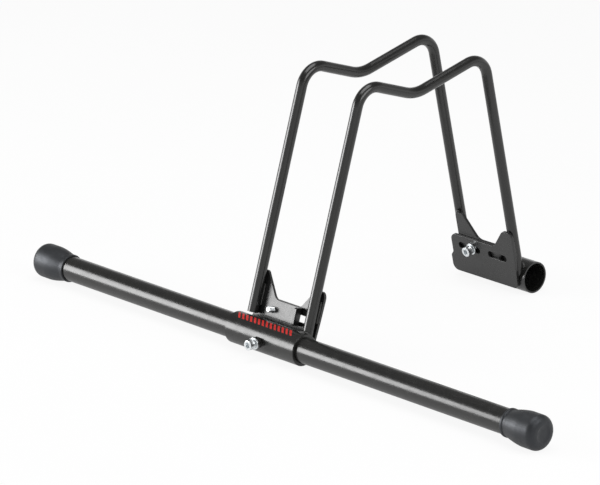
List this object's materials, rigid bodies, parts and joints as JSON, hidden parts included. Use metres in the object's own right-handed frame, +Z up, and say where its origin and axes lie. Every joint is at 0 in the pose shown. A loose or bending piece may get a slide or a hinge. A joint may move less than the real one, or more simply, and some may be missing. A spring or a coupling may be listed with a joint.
{
  "type": "floor bike rack",
  "caption": "Floor rack that holds one bicycle wheel upright between two bent rod hoops, steadied by a long sliding cross tube.",
  "frame": {"origin": "under the middle of the whole rack, on the floor", "axes": "+X along the cross tube, +Y the way the wheel rolls in over it, +Z up"},
  "size_m": [0.708, 0.3664, 0.2703],
  "materials": {
    "black_tube_paint": "gloss",
    "black_rod_paint": "gloss",
    "black_plate_paint": "satin",
    "black_weld_paint": "gloss",
    "black_rubber": "matte",
    "zinc_plate": "bright zinc"
  },
  "bodies": {
    "frame": {"sleeve": "black_tube_paint", "rear_tube": "black_tube_paint", "fixed_hoop": "black_rod_paint", "front_fixed_plate": "black_plate_paint", "rear_fixed_plate": "black_plate_paint", "lock_nut": "black_weld_paint", "front_plate_welds": "black_weld_paint", "rear_plate_welds": "black_weld_paint", "fixed_hoop_welds": "black_weld_paint"},
    "cross_tube_group": {"cross_tube": "black_tube_paint", "end_cap_left": "black_rubber", "end_cap_right": "black_rubber"},
    "sliding_hoop_group": {"sliding_hoop": "black_rod_paint", "front_sliding_plate": "black_plate_paint", "rear_sliding_plate": "black_plate_paint", "sliding_hoop_welds": "black_weld_paint"},
    "lock_screw_group": {"lock_screw": "zinc_plate", "lock_flat_washer": "zinc_plate", "lock_spring_washer": "zinc_plate"},
    "front_slide_screw_group": {"front_slide_screw": "zinc_plate", "front_flat_washer": "zinc_plate", "front_spring_washer": "zinc_plate"},
    "rear_slide_screw_group": {"rear_slide_screw": "zinc_plate", "rear_flat_washer": "zinc_plate", "rear_spring_washer": "zinc_plate"}
  },
  "joints": [
    {"name": "cross_tube_slide", "type": "slide", "parent": "frame", "child": "cross_tube_group", "axis": [1, 0, 0], "range_m": [-0.277, 0.245]},
    {"name": "hoop_width_slide", "type": "slide", "parent": "frame", "child": "sliding_hoop_group", "axis": [1, 0, 0], "range_m": [-0.015, 0.008]},
    {"name": "lock_screw_back_off", "type": "slide", "parent": "frame", "child": "lock_screw_group", "axis": [0, -1, 0], "range_m": [0, 0.005]},
    {"name": "front_slide_screw_turn", "type": "hinge", "parent": "sliding_hoop_group", "child": "front_slide_screw_group", "pos_m": [-0.033, -0.12253, 0.03476], "axis": [0, 0.9553, -0.2957], "range_deg": [0, 360]},
    {"name": "rear_slide_screw_turn", "type": "hinge", "parent": "sliding_hoop_group", "child": "rear_slide_screw_group", "pos_m": [-0.033, 0.13805, 0.0359], "axis": [0, -0.9763, -0.2164], "range_deg": [0, 360]}
  ]
}
